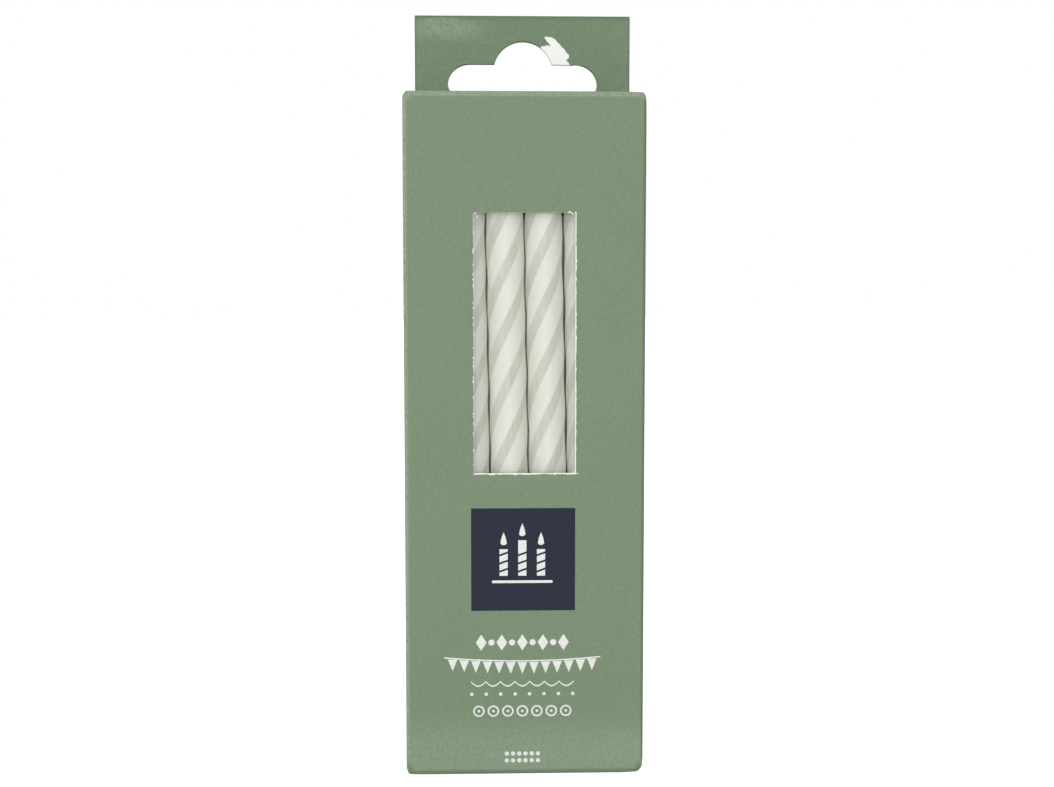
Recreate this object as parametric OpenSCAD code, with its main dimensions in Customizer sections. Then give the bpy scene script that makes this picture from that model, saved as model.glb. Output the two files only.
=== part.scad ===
// Retail pack of spiral birthday candles, in millimetres, +Z up.
// A folding carton of thin board, with a display window in the front panel, a
// tuck-in lid and a two-ply hang tab, holds two rows of twisted wax candles.
// The origin is the centre of the carton's base and the window faces -Y.
// All carton sizes follow from the candles, their clearances and the board.

/* [Candle] */
// Diameter over the ridges of the spiral
candle_d = 4.9; // [4.5:0.1:7]
// Diameter at the bottom of the grooves between the ridges
groove_d = 4.3; // [3.4:0.1:4.4]
// Length of the wax
candle_len = 80; // [50:1:110]
// Length of the drawn-in top end of the wax
taper_len = 2; // [1:0.5:4]
// Ridges that wind side by side round one candle
ridge_count = 4; // [3:1:6]
// Rise of one ridge in a full turn
ridge_lead = 30.5; // [22:0.5:45]
// Diameter of the wick
wick_d = 1; // [0.7:0.1:1.4]
// Length of wick that stands free above the wax
wick_free = 6.5; // [4:0.5:10]

/* [Packing] */
// Candles side by side in one row
candles_per_row = 6; // [5:1:8]
// Rows of candles, one behind the other
row_count = 2; // [1:1:3]
// Gap between neighbouring candles
candle_gap = 0.28; // [0.1:0.02:0.5]
// Play between the end candles and the side panels
side_play = 0.15; // [0.1:0.05:0.5]
// Play between the front row and the front panel
front_play = 0.15; // [0.1:0.05:0.5]
// Play between the back row and the glue flap
back_play = 0.42; // [0.2:0.02:1]
// Room above the wicks, under the dust flaps
head_play = 2.4; // [1:0.1:5]

/* [Board] */
// Thickness of the carton board
board_t = 0.45; // [0.3:0.05:0.7]
// Gap between board layers that are folded but not glued
fold_gap = 0.05; // [0.02:0.01:0.1]
// Gap at a crease between a panel and the flap that turns on it
crease_gap = 0.02; // [0.01:0.01:0.05]
// Clearance at the side edges of the flaps
flap_side_gap = 0.15; // [0.05:0.05:0.5]

/* [Window] */
// Width of the window
window_w = 13.6; // [6:0.05:22]
// Height of the window
window_h = 34.6; // [10:0.1:50]
// Distance from the top fold of the carton down to the window
window_drop = 15.8; // [5:0.1:30]
// Offset of the window to the right of the panel's middle
window_shift = 0; // [0:0.02:1]

/* [Hang tab] */
// Distance that each side edge of the tab stands in from the side panel
tab_inset = 0.75; // [0:0.05:1.5]
// Height of the tab above the top fold
tab_h = 11.75; // [11.5:0.05:20]
// Width of the slot over both its lobes
slot_w = 20.65; // [18:0.05:22]
// Height of the slot's lobes
slot_lobe_h = 4.5; // [4.2:0.1:4.8]
// Height of a lobe's upper rounding
slot_shoulder_h = 2.75; // [2:0.05:3.2]
// Length of a lobe's upper rounding
slot_end_len = 3.1; // [2:0.1:4.5]
// Length of a lobe's lower rounding
slot_foot_len = 1.9; // [1:0.1:3]
// Radius of the round hump in the middle of the slot
slot_hump_r = 4.1; // [3.5:0.1:5]
// Height of the hump above the lobes
slot_hump_h = 3.1; // [2:0.05:3.4]
// Board left above the hump
slot_top_margin = 3.5; // [2:0.1:3.7]

/* [Lid] */
// Gap between the lid's rear fold and the hang tab
lid_gap = 0.4; // [0.3:0.05:1]
// Length of the flap that tucks in behind the candles
tuck_len = 6; // [4:0.1:6]
// Radius of the tuck flap's corners
tuck_corner_r = 2.5; // [1:0.1:4]
// Extra clearance at the tuck flap's side edges
tuck_side_gap = 0.3; // [0.1:0.05:1]
// Length of the top dust flaps, from their crease
dust_len = 7; // [4:0.1:7]
// Clearance between a dust flap and the front panel
dust_front_gap = 0.2; // [0.1:0.05:0.5]
// Clearance between a dust flap and the tuck flap
dust_rear_gap = 0.25; // [0.2:0.05:0.5]
// Width of the dust flap's cut-back front corner
dust_front_mitre = 3.7; // [3.6:0.1:4.5]
// Width of the dust flap's cut-back rear corner
dust_rear_mitre = 1.55; // [1.5:0.05:2.5]
// Length that the rear corner is cut back
dust_rear_cut = 2.8; // [2.8:0.1:4]

/* [Bottom and glue flap] */
// Distance of the outer bottom flap's free edge from the back face
bottom_outer_edge = 0.15; // [0.05:0.05:1]
// Distance of the inner bottom flap's free edge from the front panel
bottom_inner_edge = 0.8; // [0.2:0.1:3]
// Length of the bottom dust flaps
bottom_dust_len = 8; // [4:0.1:10]
// Length that both corners of a bottom dust flap are cut back
bottom_dust_mitre = 1.5; // [0.5:0.1:3]
// Width of the glue flap
glue_w = 9; // [4:0.5:12]
// Distance of the glue flap's lower end from the candles' base
glue_low_end = 2; // [1:0.5:10]
// Distance of the glue flap's upper end from the tuck flap
glue_high_end = 1.05; // [0.5:0.05:5]
// Length that the glue flap's ends are cut back
glue_mitre = 3; // [1:0.5:6]

/* [Hidden] */
candle_count = candles_per_row * row_count;

// Names of one candle's wax and wick, such as candle_01_wax
function candle_name(i) = str("candle_", i < 9 ? "0" : "", i + 1);
function wax_name(i) = str(candle_name(i), "_wax");
function wick_name(i) = str(candle_name(i), "_wick");

CARTON_NODES = ["front_panel", "back_panel", "left_side_panel", "right_side_panel",
    "glue_flap", "top_lid", "top_tuck_flap", "top_dust_flap_left", "top_dust_flap_right",
    "bottom_outer_flap", "bottom_inner_flap", "bottom_dust_flap_left",
    "bottom_dust_flap_right", "hang_tab_rear_ply", "hang_tab_front_ply"];

// Colours, as the photo shows them
board_green = "#7f927a";
board_white = "#e8e6dd";
wax_white = "#dcdccd";
wick_white = "#f0ede2";

// Plan of the carton, worked out from the candles in it
candle_pitch = candle_d + candle_gap;
inner_w = candle_d + (candles_per_row - 1) * candle_pitch + 2 * side_play;
inner_d = front_play + candle_d + (row_count - 1) * candle_pitch + back_play + board_t;
outer_w = inner_w + 2 * board_t;
outer_d = inner_d + 2 * board_t;
side_in_x = inner_w / 2;
side_out_x = outer_w / 2;
front_out_y = -outer_d / 2;
front_in_y = front_out_y + board_t;
back_out_y = outer_d / 2;
back_in_y = back_out_y - board_t;

// Heights, from the floor of the carton up
bottom_outer_top = board_t;
bottom_inner_top = bottom_outer_top + board_t;
floor_z = bottom_inner_top + board_t;
candle_z = floor_z + fold_gap;
wax_top_z = candle_z + candle_len;
wick_top_z = wax_top_z + wick_free;
dust_under_z = wick_top_z + head_play;
dust_top_z = dust_under_z + board_t;
lid_under_z = dust_top_z + fold_gap;
top_z = lid_under_z + board_t;
tab_top_z = top_z + tab_h;
tab_w = inner_w - 2 * tab_inset;

// Lid, tuck flap and dust flaps
tab_front_y = back_out_y - 2 * board_t;
lid_rear_y = tab_front_y - lid_gap;
tuck_front_y = lid_rear_y - board_t;
tuck_low_z = lid_under_z - tuck_len;
lid_half_w = side_in_x - fold_gap;
tuck_half_w = side_in_x - tuck_side_gap;
dust_front_y = front_in_y + dust_front_gap;
dust_rear_y = tuck_front_y - dust_rear_gap;

// Window, measured down from the top fold
window_high_z = top_z - window_drop;
window_low_z = window_high_z - window_h;

// Slot in the hang tab: two lobes with rounded ends under a round hump
lobe_top_z = tab_top_z - slot_top_margin - slot_hump_h;
lobe_mid_z = lobe_top_z - slot_shoulder_h;
slot_foot_h = slot_lobe_h - slot_shoulder_h;
hump_mid_z = tab_top_z - slot_top_margin - slot_hump_r;
hump_foot_angle = asin((lobe_top_z - hump_mid_z) / slot_hump_r);
arc_steps = 8;

// Overrun of the cutting shapes and extra radius of the bore round the wick
overrun = 0.5;
wick_fit = 0.02;
// Bevel at the cut tip of the wick
wick_bevel = 0.2;

// One ridge of the wax, from groove to groove: shares of its angle, and shares
// of the groove's depth that the outline has risen by
ridge_shares = [[0, 0], [0.2, 0.75], [0.57, 1], [0.85, 0.7]];
// Drawn-in top end of the wax: shares of its length, and of the full section
taper_shares = [[0.5, 0.9], [1, 0.6]];
// Turn of each candle as it lies in the pack, as shares of one ridge's angle
turn_shares = [0.35, 0.8, 0.54, 0.17, 0.66, 0.05, 0.45, 0.9, 0.25, 0.7, 0.12, 0.6];
// Slices of the twisted wax in one full turn
slices_per_turn = 12;
$fn = 48;

// Quarter of a rod along +X from the origin: the outside of a fold. It fills
// the corner towards +Y and +Z.
module fold_quarter(radius, length) {
    rotate([90, 0, 90])
        intersection() {
            cylinder(r = radius, h = length);
            cube([radius, radius, length]);
        }
}

// Upright plate of board across X between two heights, with its outer face on
// -Y and a rounded fold at its lower and upper edge where asked
module upright_plate(half_w, low_z, high_z, fold_low, fold_high) {
    low_cut = fold_low ? board_t : 0;
    high_cut = fold_high ? board_t : 0;
    translate([-half_w, 0, low_z + low_cut])
        cube([2 * half_w, board_t, high_z - low_z - low_cut - high_cut]);
    if (fold_high)
        translate([-half_w, board_t, high_z - board_t])
            mirror([0, 1, 0])
                fold_quarter(board_t, 2 * half_w);
    if (fold_low)
        translate([-half_w, board_t, low_z + board_t])
            mirror([0, 1, 0])
                mirror([0, 0, 1])
                    fold_quarter(board_t, 2 * half_w);
}

// Front panel with the display window
module front_panel() {
    color(board_green)
        difference() {
            translate([0, front_out_y, 0])
                upright_plate(side_in_x, 0, top_z, true, true);
            translate([window_shift - window_w / 2, front_out_y - overrun, window_low_z])
                cube([window_w, board_t + 2 * overrun, window_h]);
        }
}

// Back panel, whose upper edge carries the hang tab
module back_panel() {
    color(board_green)
        mirror([0, 1, 0])
            translate([0, front_out_y, 0])
                upright_plate(side_in_x, bottom_outer_top, top_z, true, false);
}

// Right side panel: both upright folds, and rounded ends above and below
module side_panel() {
    rod_h = dust_top_z - bottom_inner_top;
    translate([0, 0, bottom_inner_top])
        intersection() {
            union() {
                translate([side_in_x, front_in_y, 0])
                    cube([board_t, inner_d, rod_h]);
                for (fold_y = [front_in_y, back_in_y])
                    translate([side_in_x, fold_y, 0])
                        intersection() {
                            cylinder(r = board_t, h = rod_h);
                            translate([0, fold_y < 0 ? -board_t : 0, 0])
                                cube([board_t, board_t, rod_h]);
                        }
            }
            // Rounds the upper and lower edge along Y
            translate([side_out_x, front_out_y, 0])
                rotate([0, 0, 90])
                    upright_plate_y(outer_d, rod_h);
        }
}

// Upright plate that runs along X from the origin, board thick towards +Y,
// with both its outer edges rounded
module upright_plate_y(length, height) {
    translate([length / 2, 0, 0])
        upright_plate(length / 2, 0, height, true, true);
}

module right_side_panel() {
    color(board_green)
        side_panel();
}

module left_side_panel() {
    color(board_green)
        mirror([1, 0, 0])
            side_panel();
}

// Flap glued inside the back panel, with cut-back ends
module glue_flap() {
    low_z = candle_z + glue_low_end;
    high_z = tuck_low_z - glue_high_end;
    color(board_white)
        translate([0, back_in_y, 0])
            rotate([90, 0, 0])
                linear_extrude(height = board_t)
                    polygon([[-side_in_x, low_z], [-side_in_x + glue_w, low_z + glue_mitre],
                        [-side_in_x + glue_w, high_z - glue_mitre], [-side_in_x, high_z]]);
}

// Lid: turns on the front panel's top fold, and bends down at its rear edge
module top_lid() {
    color(board_green) {
        translate([-lid_half_w, front_in_y + crease_gap, lid_under_z])
            cube([2 * lid_half_w, tuck_front_y - front_in_y - crease_gap, board_t]);
        translate([-lid_half_w, tuck_front_y, lid_under_z])
            fold_quarter(board_t, 2 * lid_half_w);
    }
}

// Tuck flap: hangs from the lid's rear fold, with two rounded corners
module top_tuck_flap() {
    corner_x = tuck_half_w - tuck_corner_r;
    corner_z = tuck_low_z + tuck_corner_r;
    color(board_green)
        translate([0, lid_rear_y, 0])
            rotate([90, 0, 0])
                linear_extrude(height = board_t)
                    union() {
                        translate([-tuck_half_w, corner_z])
                            square([2 * tuck_half_w, lid_under_z - crease_gap - corner_z]);
                        translate([-corner_x, tuck_low_z])
                            square([2 * corner_x, tuck_corner_r]);
                        for (side = [-1, 1])
                            translate([side * corner_x, corner_z])
                                circle(r = tuck_corner_r);
                    }
}

// Top dust flap on the right: its front corner is cut back to clear the lid's
// crease and its rear corner to clear the tuck flap's swing
module top_dust_flap() {
    crease_x = side_in_x - crease_gap;
    free_x = side_in_x - dust_len;
    translate([0, 0, dust_under_z])
        linear_extrude(height = board_t)
            polygon([[crease_x, dust_front_y], [crease_x, dust_rear_y],
                [free_x + dust_rear_cut, dust_rear_y], [free_x, dust_rear_y - dust_rear_mitre],
                [free_x, dust_front_y + dust_front_mitre]]);
}

module top_dust_flap_right() {
    color(board_green)
        top_dust_flap();
}

module top_dust_flap_left() {
    color(board_green)
        mirror([1, 0, 0])
            top_dust_flap();
}

// Outermost bottom flap, from the front panel: the carton stands on it
module bottom_outer_flap() {
    color(board_green)
        translate([-side_in_x + flap_side_gap, front_in_y, 0])
            cube([inner_w - 2 * flap_side_gap, outer_d - board_t - bottom_outer_edge, board_t]);
}

// Second bottom flap, from the back panel
module bottom_inner_flap() {
    color(board_white)
        translate([-side_in_x + flap_side_gap, front_in_y + bottom_inner_edge, bottom_outer_top])
            cube([inner_w - 2 * flap_side_gap, inner_d - bottom_inner_edge, board_t]);
}

// Innermost bottom flap, on the right: the candles stand on it and its twin
module bottom_dust_flap() {
    free_x = side_in_x - bottom_dust_len;
    low_y = front_in_y + flap_side_gap;
    high_y = back_in_y - flap_side_gap;
    translate([0, 0, bottom_inner_top])
        linear_extrude(height = board_t)
            polygon([[side_in_x, low_y], [side_in_x, high_y],
                [free_x + bottom_dust_mitre, high_y], [free_x, high_y - bottom_dust_mitre],
                [free_x, low_y + bottom_dust_mitre], [free_x + bottom_dust_mitre, low_y]]);
}

module bottom_dust_flap_right() {
    color(board_white)
        bottom_dust_flap();
}

module bottom_dust_flap_left() {
    color(board_white)
        mirror([1, 0, 0])
            bottom_dust_flap();
}

// Outline of the hang slot: the hump's arc between two lobes, whose ends are
// rounded wide at the shoulder and tight at the foot
function lobe_end(side) = [for (k = [-arc_steps : arc_steps])
    let (a = k * side * 90 / arc_steps,
        rounding = a > 0 ? [slot_end_len, slot_shoulder_h] : [slot_foot_len, slot_foot_h])
        [side * (slot_w / 2 - rounding[0] * (1 - cos(a))), lobe_mid_z + rounding[1] * sin(a)]];
function hump_arc() = [for (k = [0 : 2 * arc_steps])
    let (a = hump_foot_angle + k * (90 - hump_foot_angle) / arc_steps)
        [slot_hump_r * cos(a), hump_mid_z + slot_hump_r * sin(a)]];

// One ply of the tab across the carton, with the slot through it and a fold
// quarter at its upper edge. It faces -Y and starts at the given height.
module tab_ply(low_z) {
    difference() {
        upright_plate(tab_w / 2, low_z, tab_top_z, false, true);
        translate([0, board_t + overrun, 0])
            rotate([90, 0, 0])
                linear_extrude(height = board_t + 2 * overrun)
                    polygon(concat(lobe_end(1), hump_arc(), lobe_end(-1)));
    }
}

// Rear ply: the upward extension of the back panel
module hang_tab_rear_ply() {
    color(board_green)
        translate([0, back_out_y, 0])
            mirror([0, 1, 0])
                tab_ply(top_z);
}

// Front ply: folded over the tab's top and glued to the rear ply
module hang_tab_front_ply() {
    color(board_green)
        translate([0, tab_front_y, 0])
            tab_ply(top_z + 2 * fold_gap);
}

// Cross-section of the wax, as angle and radius of each corner: rounded ridges
// with a sharp groove between them
wax_section = [for (k = [0 : ridge_count - 1], share = ridge_shares)
    [(k + share[0]) * 360 / ridge_count,
        (groove_d + (candle_d - groove_d) * share[1]) / 2]];
corner_count = len(wax_section);

// Levels of the wax, as height and share of the full section
body_len = candle_len - taper_len;
body_slices = ceil(body_len / ridge_lead * slices_per_turn);
wax_levels = concat([for (k = [0 : body_slices]) [k * body_len / body_slices, 1]],
    [for (share = taper_shares) [body_len + share[0] * taper_len, share[1]]]);
level_count = len(wax_levels);

// The bore has as many sides as the section, and the wick's circle fits in it
bore_step = 360 / corner_count;
bore_r = (wick_d / 2 + wick_fit) / cos(bore_step / 2);
bore_shift = round(360 * candle_len / ridge_lead / bore_step);

// Corners of the wax at one level, turned right-handed with its height
function wax_ring(level) = [for (corner = wax_section)
    let (a = corner[0] + 360 * level[0] / ridge_lead, r = corner[1] * level[1])
        [r * cos(a), r * sin(a), level[0]]];
// Corners of the bore at one height, counted on from the given one
function bore_ring(height, first) = [for (k = [0 : corner_count - 1])
    let (a = (k + first) * bore_step) [bore_r * cos(a), bore_r * sin(a), height]];

// Wax of one candle as a closed mesh: twisted sides, two flat ends and a bore
module wax_body() {
    n = corner_count;
    top = (level_count - 1) * n;
    bore_low = level_count * n;
    bore_high = bore_low + n;
    polyhedron(
        points = concat([for (level = wax_levels) each wax_ring(level)],
            bore_ring(0, 0), bore_ring(candle_len, bore_shift)),
        faces = [for (k = [0 : n - 1])
            let (next = (k + 1) % n, low = (k + bore_shift) % n, low_next = (low + 1) % n)
                each concat(
                    [for (base = [0 : n : top - n]) each
                        [[base + k, base + n + k, base + next],
                            [base + next, base + n + k, base + n + next]]],
                    [[k, next, bore_low + next, bore_low + k],
                        [top + k, bore_high + k, bore_high + next, top + next],
                        [bore_low + low, bore_low + low_next, bore_high + next, bore_high + k]])]);
}

// Place of one candle: rows run along X, and the first row is at the window
module at_candle(i) {
    column = i % candles_per_row;
    row = floor(i / candles_per_row);
    translate([(column - (candles_per_row - 1) / 2) * candle_pitch,
        front_in_y + front_play + candle_d / 2 + row * candle_pitch, candle_z])
        children();
}

// Wax of one candle, turned as it lies in the pack
module candle_wax(i) {
    color(wax_white)
        at_candle(i)
            rotate([0, 0, turn_shares[i % len(turn_shares)] * 360 / ridge_count])
                wax_body();
}

// Wick of one candle: cast in along the whole wax, and cut square above it
module candle_wick(i) {
    wick_len = candle_len + wick_free;
    color(wick_white)
        at_candle(i) {
            cylinder(d = wick_d, h = wick_len - wick_bevel);
            translate([0, 0, wick_len - wick_bevel])
                cylinder(d1 = wick_d, d2 = wick_d - 2 * wick_bevel, h = wick_bevel);
        }
}

front_panel();
back_panel();
left_side_panel();
right_side_panel();
glue_flap();
top_lid();
top_tuck_flap();
top_dust_flap_left();
top_dust_flap_right();
bottom_outer_flap();
bottom_inner_flap();
bottom_dust_flap_left();
bottom_dust_flap_right();
hang_tab_rear_ply();
hang_tab_front_ply();
for (i = [0 : candle_count - 1]) {
    candle_wax(i);
    candle_wick(i);
}
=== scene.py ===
import random
from math import asin, ceil, cos, degrees, dist, hypot, pi, radians, sin, sqrt

import bpy
import numpy as np
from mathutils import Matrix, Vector
from mathutils.geometry import delaunay_2d_cdt


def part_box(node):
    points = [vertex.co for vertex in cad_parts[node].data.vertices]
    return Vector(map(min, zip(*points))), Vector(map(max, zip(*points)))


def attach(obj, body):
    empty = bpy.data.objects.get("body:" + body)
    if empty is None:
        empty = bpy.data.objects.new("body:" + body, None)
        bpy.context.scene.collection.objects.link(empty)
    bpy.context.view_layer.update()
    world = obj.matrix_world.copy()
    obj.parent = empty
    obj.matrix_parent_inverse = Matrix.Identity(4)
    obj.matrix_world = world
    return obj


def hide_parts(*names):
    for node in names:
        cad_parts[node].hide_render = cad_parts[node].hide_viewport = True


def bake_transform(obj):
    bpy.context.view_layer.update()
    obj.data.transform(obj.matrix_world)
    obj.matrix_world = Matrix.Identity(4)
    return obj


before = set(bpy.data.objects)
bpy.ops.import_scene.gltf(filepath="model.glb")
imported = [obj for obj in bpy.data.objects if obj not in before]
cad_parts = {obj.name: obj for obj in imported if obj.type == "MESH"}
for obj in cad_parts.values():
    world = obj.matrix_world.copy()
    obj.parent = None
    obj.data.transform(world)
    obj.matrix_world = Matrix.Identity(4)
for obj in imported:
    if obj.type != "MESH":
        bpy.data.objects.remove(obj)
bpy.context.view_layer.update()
MM = 0.001

# Faces of a board: its print, its white inside, the core seen at cut edges, painted dark
# as shade, the inks on the print, torn white fibres, and the tab's print, painted darker as shade
PRINT, INSIDE, SHADED_CORE, NAVY, WHITE, TORN, TAB_SHADED_PRINT = range(7)


# Places taken from the frame

def box_mm(node):
    """Lowest and highest corner of a CAD node, in millimetres."""
    low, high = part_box(node)
    return low / MM, high / MM


def window_corners():
    """Lowest and highest corner of the window, from the corners of the front panel's solid."""
    corners = [v.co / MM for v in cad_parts["front_panel"].data.vertices]
    inner = [c for c in corners if abs(c.x) < 0.9 * front_high.x]
    across, up = [c.x for c in inner], [c.z for c in inner]
    return (min(across), min(up)), (max(across), max(up))


front_low, front_high = box_mm("front_panel")
back_high = box_mm("back_panel")[1]
side_high = box_mm("right_side_panel")[1]
glue_low, glue_high = box_mm("glue_flap")
tuck_low, tuck_high = box_mm("top_tuck_flap")
dust_low, dust_high = box_mm("top_dust_flap_right")
floor_high = box_mm("bottom_outer_flap")[1]
inner_low = box_mm("bottom_inner_flap")[0]
corner_low, corner_high = box_mm("bottom_dust_flap_right")
tab_low, tab_high = box_mm("hang_tab_rear_ply")
ply_low = box_mm("hang_tab_front_ply")[0]
(window_x0, window_z0), (window_x1, window_z1) = window_corners()

half_w = side_high.x
half_d = back_high.y
top_z = front_high.z
board_t = front_high.y - front_low.y
# The board is drawn a little thinner, so that plies that touch don't share a face
sheet_t = board_t - 0.01


# Outlines

def walk(points, step, closed=True):
    """Points along a polyline, with none further apart than the step."""
    ends = points[1:] + points[:1] if closed else points[1:]
    out = []
    for (ax, ay), (bx, by) in zip(points, ends):
        parts = max(1, ceil(hypot(bx - ax, by - ay) / step))
        out += [(ax + (bx - ax) * k / parts, ay + (by - ay) * k / parts) for k in range(parts)]
    return out if closed else out + points[-1:]


def arc(x, y, rx, ry, start, end, steps):
    """Points on part of an ellipse, with its angles in degrees."""
    angles = [radians(start + (end - start) * k / steps) for k in range(steps + 1)]
    return [(x + rx * cos(a), y + ry * sin(a)) for a in angles]


def ring(x, y, r, steps=20):
    """A circle's outline."""
    return arc(x, y, r, r, 0, 360, steps)[:-1]


def rectangle(x0, y0, x1, y1):
    """A rectangle's outline."""
    return [(x0, y0), (x1, y0), (x1, y1), (x0, y1)]


def band(line, half):
    """Outline of a band along a line, with half its height."""
    return [(x, y - half) for x, y in line] + [(x, y + half) for x, y in line[::-1]]


def area(loop):
    """Signed area of a loop: positive when it runs anticlockwise."""
    return sum(ax * by - bx * ay for (ax, ay), (bx, by) in zip(loop, loop[1:] + loop[:1])) / 2


def turned(loop, anticlockwise):
    """The loop, running the way asked for."""
    return loop if (area(loop) > 0) == anticlockwise else loop[::-1]


def inside(points, loop):
    """Which points lie inside a loop."""
    x, y = points[:, 0], points[:, 1]
    hit = np.zeros(len(points), bool)
    for (ax, ay), (bx, by) in zip(loop, loop[1:] + loop[:1]):
        if ay != by:
            hit ^= ((ay > y) != (by > y)) & (x < (bx - ax) * (y - ay) / (by - ay) + ax)
    return hit


def outward(loop):
    """Unit normals at a loop's points, away from the board that lies on the loop's left."""
    pts = np.array(loop)
    run = np.roll(pts, -1, 0) - np.roll(pts, 1, 0)
    run /= np.linalg.norm(run, axis=1)[:, None]
    return np.stack([run[:, 1], -run[:, 0]], 1)


# Meshes

def in_scene(name, data):
    """A new object in the scene, from its data."""
    made = bpy.data.objects.new(name, data)
    bpy.context.scene.collection.objects.link(made)
    return made


def new_piece(name, verts, faces, kinds, materials, sharp_deg=30, **values):
    """A mesh object from millimetres, with a material per face and named values per corner."""
    mesh = bpy.data.meshes.new(name)
    mesh.from_pydata([tuple(c * MM for c in v) for v in verts], [], faces)
    for material in materials:
        mesh.materials.append(material)
    mesh.polygons.foreach_set("material_index", kinds)
    mesh.polygons.foreach_set("use_smooth", [True] * len(faces))
    mesh.set_sharp_from_angle(angle=radians(sharp_deg))
    for key, numbers in values.items():
        layer = mesh.attributes.new(key, "FLOAT", "POINT")
        layer.data.foreach_set("value", np.array(numbers, np.float32))
    mesh.update()
    return in_scene(name, mesh)


def tube_walls(first, sides, rings):
    """Faces between the rings of a tube, whose first point has the given number."""
    faces = []
    for b in range(first, first + (rings - 1) * sides, sides):
        for k in range(sides):
            n = (k + 1) % sides
            faces.append([b + k, b + n, b + sides + n, b + sides + k])
    return faces


def closed_tube(first, sides, rings):
    """Faces of a tube with both ends closed."""
    last = first + (rings - 1) * sides
    ends = [[first + k for k in reversed(range(sides))], [last + k for k in range(sides)]]
    return tube_walls(first, sides, rings) + ends


# Longest stretch of a sheet's mesh, and of an edge that meets another board's edge
STEP = 2.2
EDGE_STEP = 0.6
# How far the grid's points stay from the others, as a share of its step
GRID_CLEARANCE = 0.4
# Bevel at a cut edge, and the depth at which it ends
EDGE_BEVEL = 0.012
EDGE_DEPTH = 0.02


class Flat:
    """A sheet on the flat: the loops and lines that its triangles keep, then the triangles."""

    def __init__(self):
        self.points = []
        self.edges = []

    def add(self, line, closed=True):
        """Adds a loop or a line, and gives the numbers of its points."""
        first, count = len(self.points), len(line)
        self.points += line
        last = count if closed else count - 1
        self.edges += [(first + k, first + (k + 1) % count) for k in range(last)]
        return range(first, first + count)

    def fill(self, outline, holes, step):
        """Adds a grid of points inside the outline and outside its holes."""
        flat = np.array(self.points)
        across, up = (np.arange(flat[:, i].min(), flat[:, i].max(), step) for i in range(2))
        grid = np.stack(np.meshgrid(across, up), -1).reshape(-1, 2)
        keep = inside(grid, outline)
        for loop in holes:
            keep &= ~inside(grid, loop)
        for k in np.nonzero(keep)[0]:
            keep[k] = np.min(np.sum((flat - grid[k]) ** 2, 1)) > (GRID_CLEARANCE * step) ** 2
        self.points += [tuple(p) for p in grid[keep]]

    def triangulate(self):
        """Joins the points. Its where gives the corner that each point became."""
        made = delaunay_2d_cdt([Vector(p) for p in self.points], self.edges, [], 0, 1e-6)
        self.corners = np.array([tuple(v) for v in made[0]])
        self.tris = np.array(made[2])
        self.where = {source: k for k, sources in enumerate(made[3]) for source in sources}
        self.middle = self.corners[self.tris].mean(1)

    def within(self, members):
        """Which triangles lie inside a loop, by its corners as the triangulation rounded them."""
        return inside(self.middle, [tuple(self.corners[self.where[m]]) for m in members])

    def cut(self, rims, areas, face):
        """Triangles in the outline and out of its holes, facing one way, and the kind of each."""
        keep = self.within(rims[0])
        for members in rims[1:]:
            keep &= ~self.within(members)
        kinds = np.full(len(self.tris), face)
        for members, kind in areas:
            kinds[self.within(members)] = kind
        tris, kinds = self.tris[keep], kinds[keep]
        a, b, c = (self.corners[tris[:, i]] for i in range(3))
        spin = (b[:, 0] - a[:, 0]) * (c[:, 1] - a[:, 1]) - (b[:, 1] - a[:, 1]) * (c[:, 0] - a[:, 0])
        tris[spin < 0] = tris[spin < 0][:, ::-1]
        return tris, kinds


def thickened(spots, tris, kinds, rims, place, wear_and_light_at, depth):
    """A sheet's two faces and its cut edges, from its corners and triangles on the flat."""
    count = len(spots)
    grown = np.zeros((count, 2))
    for ids, push, _ in rims:
        grown[ids] = push
    verts = [place(*spot, 0) for spot in spots]
    verts += [place(*spot, sheet_t) for spot in spots + grown]
    faces = tris + [[i + count for i in reversed(tri)] for tri in tris]
    kinds = list(kinds) + [INSIDE] * len(tris)
    for ids, push, kind in rims:
        first = len(verts)
        verts += [place(*spot, depth) for spot in spots[ids] + push]
        for k in range(len(ids)):
            n = (k + 1) % len(ids)
            faces.append([ids[k], first + k, first + n, ids[n]])
            faces.append([first + k, ids[k] + count, ids[n] + count, first + n])
            kinds += [kind, kind]
    worn = [wear_and_light_at(*spot) if wear_and_light_at else 0 for spot in spots]
    return verts, faces, kinds, worn + [0] * (len(verts) - count)


def cut_board(outline, place, holes=(), creases=(), prints=(), step=STEP, wear_and_light_at=None,
              depth=EDGE_DEPTH, face=PRINT, edge=SHADED_CORE):
    """Vertices, faces, face kinds and wear of a sheet of board, cut to an outline on the flat.

    place(u, v, depth) bends the flat into shape. Each hole is a clockwise loop, with its
    bevel's width at each point, if that varies, and the kind of the bevel's faces. Creases
    are lines that the mesh keeps, and prints are pairs of a loop and its faces' kind.
    """
    flat = Flat()
    loops = [(turned(outline, True), None, edge), *holes]
    loop_points = [flat.add(loop) for loop, _, _ in loops]
    areas = [(flat.add(loop), kind) for loop, kind in prints]
    for line in creases:
        flat.add(line, closed=False)
    flat.fill(loops[0][0], [loop for loop, _, _ in loops[1:]], step)
    flat.triangulate()
    tris, kinds = flat.cut(loop_points, areas, face)
    used = np.unique(tris)
    number = {int(old): new for new, old in enumerate(used)}
    tris = [[number[int(i)] for i in tri] for tri in tris]
    rims = []
    for members, (loop, widths, kind) in zip(loop_points, loops):
        push = outward(loop) * (EDGE_BEVEL if widths is None else np.array(widths)[:, None])
        rims.append(([number[flat.where[m]] for m in members], push, kind))
    return thickened(flat.corners[used], tris, kinds, rims, place, wear_and_light_at, depth)


def merged(*sheets):
    """Several sheets as one."""
    verts, faces, kinds, worn = [], [], [], []
    for sheet in sheets:
        first = len(verts)
        verts += sheet[0]
        faces += [[first + i for i in face] for face in sheet[1]]
        kinds += sheet[2]
        worn += sheet[3]
    return verts, faces, kinds, worn


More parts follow.
